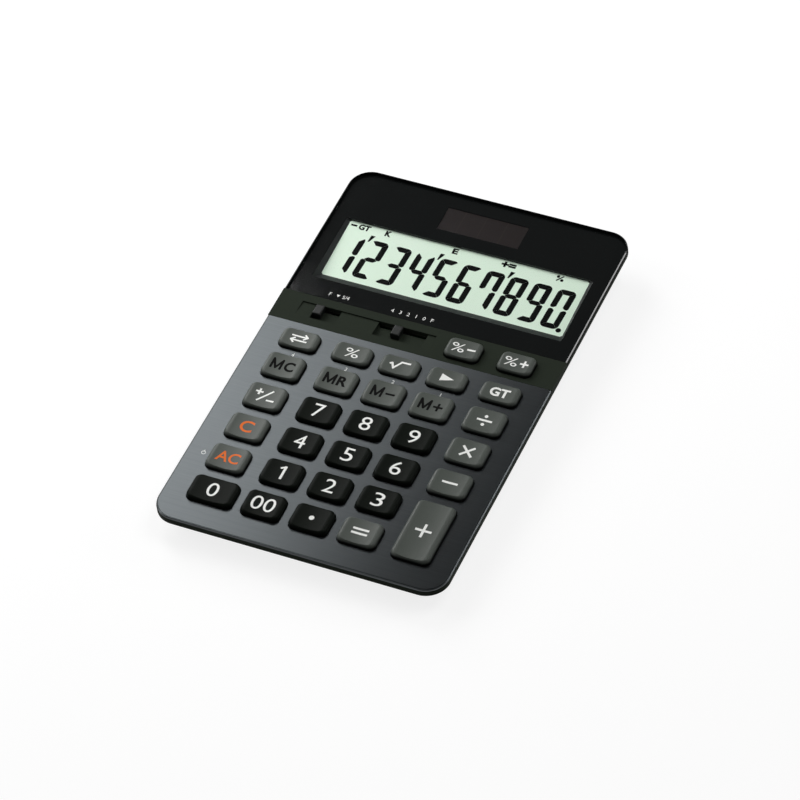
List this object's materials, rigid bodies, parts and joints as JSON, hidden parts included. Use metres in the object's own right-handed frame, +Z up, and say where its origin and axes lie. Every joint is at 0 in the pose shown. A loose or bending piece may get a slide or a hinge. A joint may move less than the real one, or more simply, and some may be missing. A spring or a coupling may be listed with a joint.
{
  "type": "desk calculator",
  "caption": "Slim sloping desk calculator with a sunken liquid-crystal display, solar cell, brushed metal key plate, sprung keys and slide switches.",
  "frame": {"origin": "centre of the calculator's outline, on the desk plane the feet stand on", "axes": "+X to the user's right, +Y to the rear, away from the user, +Z up"},
  "size_m": [0.109, 0.1765, 0.0142],
  "materials": {
    "case_plastic": "fine matte",
    "rear_plastic": "fine matte",
    "plate_aluminium": "brushed",
    "window_clear": "clear acrylic",
    "mask_black": "printed black",
    "bezel_grey": "matte",
    "lcd_glass": "pale green",
    "holder_plastic": "matte",
    "ribbon_film": "film",
    "solar_dark": "dark glass",
    "lead_red": "sleeve",
    "lead_black": "sleeve",
    "board_green": "lacquered",
    "chip_black": "epoxy",
    "contact_rubber": "silicone",
    "knob_plastic": "matte",
    "wiper_brass": "sprung",
    "screw_steel": "plated",
    "foot_rubber": "matte",
    "cell_steel": "plated",
    "contact_steel": "sprung",
    "key_grey": "satin",
    "key_black": "satin"
  },
  "bodies": {
    "body": {"front_case": "case_plastic", "rear_case": "rear_plastic", "keyboard_plate": "plate_aluminium", "display_window": "window_clear", "window_mask": "mask_black", "lcd_bezel": "bezel_grey", "lcd_panel": "lcd_glass", "lcd_holder": "holder_plastic", "lcd_ribbon": "ribbon_film", "solar_cell": "solar_dark", "solar_leads": "lead_red", "main_board": "board_green", "controller_chip": "chip_black", "rubber_sheet": "contact_rubber", "key_domes": "contact_rubber", "inner_screws": "screw_steel", "case_screws": "screw_steel", "cover_screw": "screw_steel", "rubber_feet": "foot_rubber", "coin_cell": "cell_steel", "negative_contact": "contact_steel", "positive_contact": "contact_steel", "battery_cover": "rear_plastic", "battery_leads": "lead_black"},
    "rounding_switch": {"rounding_knob": "knob_plastic", "rounding_wiper": "wiper_brass"},
    "decimal_switch": {"decimal_knob": "knob_plastic", "decimal_wiper": "wiper_brass"},
    "key_tax_minus": {"key_tax_minus": "key_grey"},
    "key_tax_plus": {"key_tax_plus": "key_grey"},
    "key_exchange": {"key_exchange": "key_grey"},
    "key_percent": {"key_percent": "key_grey"},
    "key_root": {"key_root": "key_grey"},
    "key_backspace": {"key_backspace": "key_grey"},
    "key_grand_total": {"key_grand_total": "key_grey"},
    "key_memory_clear": {"key_memory_clear": "key_grey"},
    "key_memory_recall": {"key_memory_recall": "key_grey"},
    "key_memory_minus": {"key_memory_minus": "key_grey"},
    "key_memory_plus": {"key_memory_plus": "key_grey"},
    "key_divide": {"key_divide": "key_grey"},
    "key_sign": {"key_sign": "key_grey"},
    "key_seven": {"key_seven": "key_black"},
    "key_eight": {"key_eight": "key_black"},
    "key_nine": {"key_nine": "key_black"},
    "key_multiply": {"key_multiply": "key_grey"},
    "key_clear": {"key_clear": "key_grey"},
    "key_four": {"key_four": "key_black"},
    "key_five": {"key_five": "key_black"},
    "key_six": {"key_six": "key_black"},
    "key_minus": {"key_minus": "key_grey"},
    "key_all_clear": {"key_all_clear": "key_grey"},
    "key_one": {"key_one": "key_black"},
    "key_two": {"key_two": "key_black"},
    "key_three": {"key_three": "key_black"},
    "key_zero": {"key_zero": "key_black"},
    "key_double_zero": {"key_double_zero": "key_black"},
    "key_point": {"key_point": "key_black"},
    "key_equals": {"key_equals": "key_grey"},
    "key_plus": {"key_plus": "key_grey"}
  },
  "joints": [
    {"name": "rounding_slide", "type": "slide", "parent": "body", "child": "rounding_switch", "axis": [1, 0, 0], "range_m": [0, 0.0061]},
    {"name": "decimal_slide", "type": "slide", "parent": "body", "child": "decimal_switch", "axis": [1, 0, 0], "range_m": [-0.0061, 0.00915]},
    {"name": "press_tax_minus", "type": "slide", "parent": "body", "child": "key_tax_minus", "axis": [0, -0.0269, 0.9996], "range_m": [-0.0012, 0], "stiffness_N_per_m": 350, "springref_m": 0.0005, "deforming": ["key_domes"]},
    {"name": "press_tax_plus", "type": "slide", "parent": "body", "child": "key_tax_plus", "axis": [0, -0.0269, 0.9996], "range_m": [-0.0012, 0], "stiffness_N_per_m": 350, "springref_m": 0.0005, "deforming": ["key_domes"]},
    {"name": "press_exchange", "type": "slide", "parent": "body", "child": "key_exchange", "axis": [0, -0.0269, 0.9996], "range_m": [-0.0012, 0], "stiffness_N_per_m": 350, "springref_m": 0.0005, "deforming": ["key_domes"]},
    {"name": "press_percent", "type": "slide", "parent": "body", "child": "key_percent", "axis": [0, -0.0269, 0.9996], "range_m": [-0.0012, 0], "stiffness_N_per_m": 350, "springref_m": 0.0005, "deforming": ["key_domes"]},
    {"name": "press_root", "type": "slide", "parent": "body", "child": "key_root", "axis": [0, -0.0269, 0.9996], "range_m": [-0.0012, 0], "stiffness_N_per_m": 350, "springref_m": 0.0005, "deforming": ["key_domes"]},
    {"name": "press_backspace", "type": "slide", "parent": "body", "child": "key_backspace", "axis": [0, -0.0269, 0.9996], "range_m": [-0.0012, 0], "stiffness_N_per_m": 350, "springref_m": 0.0005, "deforming": ["key_domes"]},
    {"name": "press_grand_total", "type": "slide", "parent": "body", "child": "key_grand_total", "axis": [0, -0.0269, 0.9996], "range_m": [-0.0012, 0], "stiffness_N_per_m": 350, "springref_m": 0.0005, "deforming": ["key_domes"]},
    {"name": "press_memory_clear", "type": "slide", "parent": "body", "child": "key_memory_clear", "axis": [0, -0.0269, 0.9996], "range_m": [-0.0012, 0], "stiffness_N_per_m": 350, "springref_m": 0.0005, "deforming": ["key_domes"]},
    {"name": "press_memory_recall", "type": "slide", "parent": "body", "child": "key_memory_recall", "axis": [0, -0.0269, 0.9996], "range_m": [-0.0012, 0], "stiffness_N_per_m": 350, "springref_m": 0.0005, "deforming": ["key_domes"]},
    {"name": "press_memory_minus", "type": "slide", "parent": "body", "child": "key_memory_minus", "axis": [0, -0.0269, 0.9996], "range_m": [-0.0012, 0], "stiffness_N_per_m": 350, "springref_m": 0.0005, "deforming": ["key_domes"]},
    {"name": "press_memory_plus", "type": "slide", "parent": "body", "child": "key_memory_plus", "axis": [0, -0.0269, 0.9996], "range_m": [-0.0012, 0], "stiffness_N_per_m": 350, "springref_m": 0.0005, "deforming": ["key_domes"]},
    {"name": "press_divide", "type": "slide", "parent": "body", "child": "key_divide", "axis": [0, -0.0269, 0.9996], "range_m": [-0.0012, 0], "stiffness_N_per_m": 350, "springref_m": 0.0005, "deforming": ["key_domes"]},
    {"name": "press_sign", "type": "slide", "parent": "body", "child": "key_sign", "axis": [0, -0.0269, 0.9996], "range_m": [-0.0012, 0], "stiffness_N_per_m": 350, "springref_m": 0.0005, "deforming": ["key_domes"]},
    {"name": "press_seven", "type": "slide", "parent": "body", "child": "key_seven", "axis": [0, -0.0269, 0.9996], "range_m": [-0.0012, 0], "stiffness_N_per_m": 350, "springref_m": 0.0005, "deforming": ["key_domes"]},
    {"name": "press_eight", "type": "slide", "parent": "body", "child": "key_eight", "axis": [0, -0.0269, 0.9996], "range_m": [-0.0012, 0], "stiffness_N_per_m": 350, "springref_m": 0.0005, "deforming": ["key_domes"]},
    {"name": "press_nine", "type": "slide", "parent": "body", "child": "key_nine", "axis": [0, -0.0269, 0.9996], "range_m": [-0.0012, 0], "stiffness_N_per_m": 350, "springref_m": 0.0005, "deforming": ["key_domes"]},
    {"name": "press_multiply", "type": "slide", "parent": "body", "child": "key_multiply", "axis": [0, -0.0269, 0.9996], "range_m": [-0.0012, 0], "stiffness_N_per_m": 350, "springref_m": 0.0005, "deforming": ["key_domes"]},
    {"name": "press_clear", "type": "slide", "parent": "body", "child": "key_clear", "axis": [0, -0.0269, 0.9996], "range_m": [-0.0012, 0], "stiffness_N_per_m": 350, "springref_m": 0.0005, "deforming": ["key_domes"]},
    {"name": "press_four", "type": "slide", "parent": "body", "child": "key_four", "axis": [0, -0.0269, 0.9996], "range_m": [-0.0012, 0], "stiffness_N_per_m": 350, "springref_m": 0.0005, "deforming": ["key_domes"]},
    {"name": "press_five", "type": "slide", "parent": "body", "child": "key_five", "axis": [0, -0.0269, 0.9996], "range_m": [-0.0012, 0], "stiffness_N_per_m": 350, "springref_m": 0.0005, "deforming": ["key_domes"]},
    {"name": "press_six", "type": "slide", "parent": "body", "child": "key_six", "axis": [0, -0.0269, 0.9996], "range_m": [-0.0012, 0], "stiffness_N_per_m": 350, "springref_m": 0.0005, "deforming": ["key_domes"]},
    {"name": "press_minus", "type": "slide", "parent": "body", "child": "key_minus", "axis": [0, -0.0269, 0.9996], "range_m": [-0.0012, 0], "stiffness_N_per_m": 350, "springref_m": 0.0005, "deforming": ["key_domes"]},
    {"name": "press_all_clear", "type": "slide", "parent": "body", "child": "key_all_clear", "axis": [0, -0.0269, 0.9996], "range_m": [-0.0012, 0], "stiffness_N_per_m": 350, "springref_m": 0.0005, "deforming": ["key_domes"]},
    {"name": "press_one", "type": "slide", "parent": "body", "child": "key_one", "axis": [0, -0.0269, 0.9996], "range_m": [-0.0012, 0], "stiffness_N_per_m": 350, "springref_m": 0.0005, "deforming": ["key_domes"]},
    {"name": "press_two", "type": "slide", "parent": "body", "child": "key_two", "axis": [0, -0.0269, 0.9996], "range_m": [-0.0012, 0], "stiffness_N_per_m": 350, "springref_m": 0.0005, "deforming": ["key_domes"]},
    {"name": "press_three", "type": "slide", "parent": "body", "child": "key_three", "axis": [0, -0.0269, 0.9996], "range_m": [-0.0012, 0], "stiffness_N_per_m": 350, "springref_m": 0.0005, "deforming": ["key_domes"]},
    {"name": "press_zero", "type": "slide", "parent": "body", "child": "key_zero", "axis": [0, -0.0269, 0.9996], "range_m": [-0.0012, 0], "stiffness_N_per_m": 350, "springref_m": 0.0005, "deforming": ["key_domes"]},
    {"name": "press_double_zero", "type": "slide", "parent": "body", "child": "key_double_zero", "axis": [0, -0.0269, 0.9996], "range_m": [-0.0012, 0], "stiffness_N_per_m": 350, "springref_m": 0.0005, "deforming": ["key_domes"]},
    {"name": "press_point", "type": "slide", "parent": "body", "child": "key_point", "axis": [0, -0.0269, 0.9996], "range_m": [-0.0012, 0], "stiffness_N_per_m": 350, "springref_m": 0.0005, "deforming": ["key_domes"]},
    {"name": "press_equals", "type": "slide", "parent": "body", "child": "key_equals", "axis": [0, -0.0269, 0.9996], "range_m": [-0.0012, 0], "stiffness_N_per_m": 350, "springref_m": 0.0005, "deforming": ["key_domes"]},
    {"name": "press_plus", "type": "slide", "parent": "body", "child": "key_plus", "axis": [0, -0.0269, 0.9996], "range_m": [-0.0012, 0], "stiffness_N_per_m": 350, "springref_m": 0.0005, "deforming": ["key_domes"]}
  ]
}
